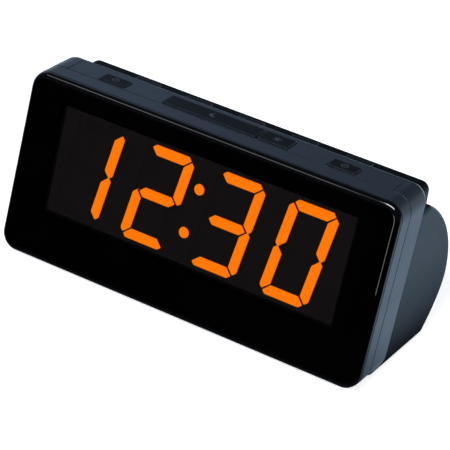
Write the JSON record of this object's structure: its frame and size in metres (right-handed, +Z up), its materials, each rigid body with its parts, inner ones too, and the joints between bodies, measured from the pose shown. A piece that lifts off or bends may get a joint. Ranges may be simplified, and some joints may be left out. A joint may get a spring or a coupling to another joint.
{
  "type": "clock radio",
  "caption": "Bedside clock radio: leaning black front with large amber digits, keys on two top decks, drum-shaped back holding the speaker.",
  "frame": {"origin": "on the table, under the middle of the bounding box", "axes": "+X to the reader's right across the display, +Y to the back, +Z up"},
  "size_m": [0.1864, 0.0829, 0.0858],
  "materials": {
    "gloss_front": "polished black, smoked over the display",
    "case": "satin dark blue-grey, fine texture",
    "keys": "satin, darker than the case",
    "dark_plastic": "matt black",
    "lit_segments": "diffusing, lit amber",
    "circuit_board": "green solder mask",
    "chip": "moulded black",
    "tinned_steel": "bright tinned",
    "steel": "zinc plated",
    "black_sleeve": "soft black sleeving",
    "red_sleeve": "soft red sleeving",
    "ribbon": "grey ribbon cable",
    "cone_paper": "pressed black paper",
    "ferrite": "sintered, dark grey",
    "rubber": "matt black"
  },
  "bodies": {
    "case": {"front_lens": "gloss_front", "front_cabinet": "case", "display_reflector": "dark_plastic", "display_light_guide": "lit_segments", "display_board": "circuit_board", "display_driver_chip": "chip", "button_panel": "case", "key_switch_1": "chip", "key_switch_2": "chip", "key_switch_3": "chip", "key_switch_4": "chip", "key_switch_5": "chip", "key_switch_6": "chip", "key_switch_7": "chip", "key_switch_8": "chip", "key_switch_9": "chip", "key_board": "circuit_board", "rear_cabinet": "case", "backup_cell": "tinned_steel", "cell_contact": "steel", "rubber_foot_1": "rubber", "rubber_foot_2": "rubber", "rubber_foot_3": "rubber", "rubber_foot_4": "rubber", "case_screw_1": "steel", "case_screw_2": "steel", "case_screw_3": "steel", "case_screw_4": "steel", "main_board": "circuit_board", "radio_chip": "chip", "controller_chip": "chip", "crystal_can": "tinned_steel", "filter_capacitor_1": "black_sleeve", "filter_capacitor_2": "black_sleeve", "power_jack": "dark_plastic", "audio_jack": "dark_plastic", "speaker_basket": "steel", "speaker_cone": "cone_paper", "speaker_magnet": "ferrite", "speaker_wire_red": "red_sleeve", "speaker_wire_black": "black_sleeve", "aerial_wire": "black_sleeve", "display_cable": "ribbon"},
    "alarm_one_key_body": {"alarm_one_key": "keys"},
    "snooze_key_body": {"snooze_key": "keys"},
    "dimmer_key_body": {"dimmer_key": "keys"},
    "alarm_two_key_body": {"alarm_two_key": "keys"},
    "rear_key_1_body": {"rear_key_1": "keys"},
    "rear_key_2_body": {"rear_key_2": "keys"},
    "rear_key_3_body": {"rear_key_3": "keys"},
    "rear_key_4_body": {"rear_key_4": "keys"},
    "rear_key_5_body": {"rear_key_5": "keys"},
    "door": {"battery_door": "case"}
  },
  "joints": [
    {"name": "alarm_one_key_press", "type": "slide", "parent": "case", "child": "alarm_one_key_body", "axis": [0, 0, -1], "range_m": [0, 0.0005]},
    {"name": "snooze_key_press", "type": "slide", "parent": "case", "child": "snooze_key_body", "axis": [0, 0, -1], "range_m": [0, 0.0005]},
    {"name": "dimmer_key_press", "type": "slide", "parent": "case", "child": "dimmer_key_body", "axis": [0, 0, -1], "range_m": [0, 0.0005]},
    {"name": "alarm_two_key_press", "type": "slide", "parent": "case", "child": "alarm_two_key_body", "axis": [0, 0, -1], "range_m": [0, 0.0005]},
    {"name": "rear_key_1_press", "type": "slide", "parent": "case", "child": "rear_key_1_body", "axis": [0, 0, -1], "range_m": [0, 0.0005]},
    {"name": "rear_key_2_press", "type": "slide", "parent": "case", "child": "rear_key_2_body", "axis": [0, 0, -1], "range_m": [0, 0.0005]},
    {"name": "rear_key_3_press", "type": "slide", "parent": "case", "child": "rear_key_3_body", "axis": [0, 0, -1], "range_m": [0, 0.0005]},
    {"name": "rear_key_4_press", "type": "slide", "parent": "case", "child": "rear_key_4_body", "axis": [0, 0, -1], "range_m": [0, 0.0005]},
    {"name": "rear_key_5_press", "type": "slide", "parent": "case", "child": "rear_key_5_body", "axis": [0, 0, -1], "range_m": [0, 0.0005]},
    {"name": "battery_door_lift_off", "type": "slide", "parent": "case", "child": "door", "axis": [0, 0, -1], "range_m": [0, 0.012]}
  ]
}
